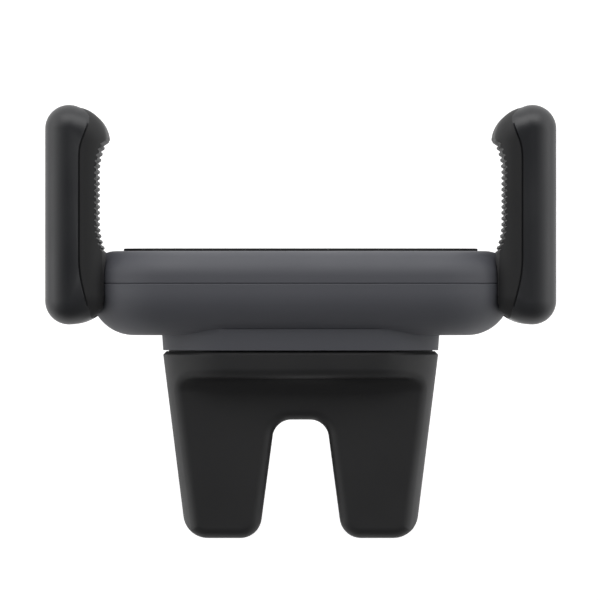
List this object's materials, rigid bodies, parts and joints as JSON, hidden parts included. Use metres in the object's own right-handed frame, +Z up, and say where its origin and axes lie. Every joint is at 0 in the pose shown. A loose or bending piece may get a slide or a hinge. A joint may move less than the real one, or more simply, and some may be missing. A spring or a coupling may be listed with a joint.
{
  "type": "air vent phone holder",
  "caption": "Vent-clip phone holder: two spring-closed ribbed hook arms geared together in a rounded body, which swivels on a forked, sprung vent clip.",
  "frame": {"origin": "middle of the slot between the clip's two jaws, which closes on the vent blade", "axes": "+Z up the phone, +Y into the vent, so -Y looks at the driver; +X across, towards the right arm"},
  "size_m": [0.0812, 0.0689, 0.036],
  "materials": {
    "clip_plastic": "moulded, fine texture",
    "lining_rubber": "matte",
    "spring_steel": "drawn wire",
    "pin_steel": "ground",
    "screw_steel": "zinc plated",
    "shell_plastic": "satin",
    "pad_rubber": "matte",
    "gear_plastic": "natural acetal",
    "slide_plastic": "moulded",
    "arm_plastic": "satin",
    "grip_rubber": "matte"
  },
  "bodies": {
    "clip": {"clip_frame": "clip_plastic", "swivel_screw": "screw_steel", "swivel_washer": "screw_steel", "wave_washer": "spring_steel", "upper_lining": "lining_rubber", "jaw_hinge_pin": "pin_steel", "jaw_spring": "spring_steel"},
    "jaw": {"rocker_jaw": "clip_plastic", "lower_lining": "lining_rubber"},
    "holder": {"front_shell": "shell_plastic", "rear_shell": "shell_plastic", "front_pad": "pad_rubber", "shell_screws": "screw_steel", "pinion_screw": "screw_steel", "right_arm_spring": "spring_steel", "left_arm_spring": "spring_steel"},
    "right_arm": {"right_slide": "slide_plastic", "right_arm_cover": "arm_plastic", "right_arm_grip": "grip_rubber", "right_arm_screws": "screw_steel"},
    "left_arm": {"left_slide": "slide_plastic", "left_arm_cover": "arm_plastic", "left_arm_grip": "grip_rubber", "left_arm_screws": "screw_steel"},
    "pinion": {"pinion": "gear_plastic"}
  },
  "joints": [
    {"name": "swivel", "type": "hinge", "parent": "clip", "child": "holder", "pos_m": [0, -0.02, 0], "axis": [0, 1, 0], "continuous": true},
    {"name": "jaw_hinge", "type": "hinge", "parent": "clip", "child": "jaw", "pos_m": [0, -0.0094, -0.0056], "axis": [-1, 0, 0], "range_deg": [0, 10], "stiffness_Nm_per_rad": 0.16, "springref_deg": -20.05, "deforming": ["jaw_spring"]},
    {"name": "right_arm_slide", "type": "slide", "parent": "holder", "child": "right_arm", "axis": [1, 0, 0], "range_m": [0, 0.012], "stiffness_N_per_m": 250, "springref_m": -0.01, "deforming": ["right_arm_spring"]},
    {"name": "left_arm_slide", "type": "slide", "parent": "holder", "child": "left_arm", "axis": [-1, 0, 0], "range_m": [0, 0.012], "stiffness_N_per_m": 250, "springref_m": -0.01, "deforming": ["left_arm_spring"]},
    {"name": "pinion_spin", "type": "hinge", "parent": "holder", "child": "pinion", "pos_m": [0, -0.0284, 0], "axis": [0, 1, 0], "range_deg": [0, 122.8]}
  ],
  "couplings": [
    {"joint": "left_arm_slide", "follows": "right_arm_slide", "ratio": 1},
    {"joint": "pinion_spin", "follows": "right_arm_slide", "rad_per_m": 178.57}
  ]
}
